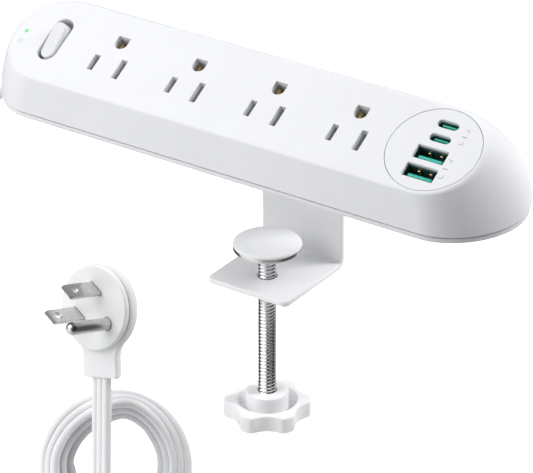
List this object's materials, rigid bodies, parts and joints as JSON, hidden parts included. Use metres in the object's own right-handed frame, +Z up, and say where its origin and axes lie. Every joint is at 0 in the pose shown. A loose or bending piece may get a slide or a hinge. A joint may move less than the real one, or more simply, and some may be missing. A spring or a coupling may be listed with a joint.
{
  "type": "desk power strip",
  "caption": "Desk-edge power strip: sloped outlet face with rocker switch and USB ports, screw clamp below, flat cord with offset plug.",
  "frame": {"origin": "centre of the base tray's underside, where the strip sits on the desk or on its clamp flange", "axes": "+X along the strip from the switch end to the USB end, +Y to the back, +Z up; the outlet face slopes down towards -Y, and the clamp opens towards -Y"},
  "size_m": [0.283, 0.2277, 0.1629],
  "materials": {
    "white_shell": "fine satin white",
    "white_soft_plastic": "soft white",
    "cord_jacket": "flexible vinyl, soft sheen, ribbed lengthways",
    "steel": "zinc plated",
    "screw_steel": "bright plated, rolled thread",
    "pad_rubber": "matte",
    "grey_carrier": "satin grey",
    "brass": "stamped",
    "port_shell": "plated, dark green inside",
    "port_tongue": "moulded teal",
    "board": "solder mask",
    "dark_plastic": "satin",
    "varistor": "dipped lacquer",
    "power_light": "translucent, lit",
    "hot_insulation": "vinyl",
    "neutral_insulation": "vinyl",
    "ground_insulation": "vinyl",
    "painted_steel": "white powder coat",
    "plated_prong": "nickel plated",
    "white_button": "satin white",
    "pad_cap": "satin white",
    "knob_plastic": "satin white"
  },
  "bodies": {
    "strip": {"top_housing": "white_shell", "usb_faceplate": "white_shell", "base_tray": "white_soft_plastic", "switch_body": "white_soft_plastic", "plug_body": "white_soft_plastic", "plug_face": "white_soft_plastic", "cord_grommet": "white_soft_plastic", "power_cord": "cord_jacket", "housing_screw_1": "steel", "housing_screw_2": "steel", "housing_screw_3": "steel", "housing_screw_4": "steel", "bracket_screw_left": "steel", "bracket_screw_right": "steel", "rocker_pivot_pin": "steel", "base_pad_left": "pad_rubber", "base_pad_right": "pad_rubber", "outlet_carrier": "grey_carrier", "hot_bus_bar": "brass", "neutral_bus_bar": "brass", "ground_bus_bar": "brass", "usb_a_shell_1": "port_shell", "usb_a_shell_2": "port_shell", "usb_c_shell_1": "port_shell", "usb_c_shell_2": "port_shell", "usb_a_tongue_1": "port_tongue", "usb_a_tongue_2": "port_tongue", "usb_c_tongue_1": "port_tongue", "usb_c_tongue_2": "port_tongue", "usb_board": "board", "power_board": "board", "transformer": "dark_plastic", "capacitor": "dark_plastic", "surge_varistor": "varistor", "light_pipe": "power_light", "hot_wire": "hot_insulation", "neutral_wire": "neutral_insulation", "ground_wire": "ground_insulation", "clamp_bracket": "painted_steel", "plug_blade_hot": "plated_prong", "plug_blade_neutral": "plated_prong", "plug_ground_pin": "plated_prong"},
    "rocker": {"rocker_button": "white_button"},
    "pad": {"pad_disc": "steel", "pad_face": "pad_cap"},
    "screw": {"clamp_screw": "screw_steel", "clamp_knob": "knob_plastic"}
  },
  "joints": [
    {"name": "rocker_tilt", "type": "hinge", "parent": "strip", "child": "rocker", "pos_m": [-0.08955, -0.0107, 0.02527], "axis": [1, 0, 0], "range_deg": [-22, 0]},
    {"name": "clamp_travel", "type": "slide", "parent": "strip", "child": "pad", "axis": [0, 0, 1], "range_m": [-0.009, 0.038]},
    {"name": "screw_turn", "type": "hinge", "parent": "pad", "child": "screw", "pos_m": [0.0025, 0.0031, -0.11], "axis": [0, 0, 1], "range_deg": [-2026, 8551]}
  ],
  "couplings": [
    {"joint": "screw_turn", "follows": "clamp_travel", "rad_per_m": 3927}
  ]
}
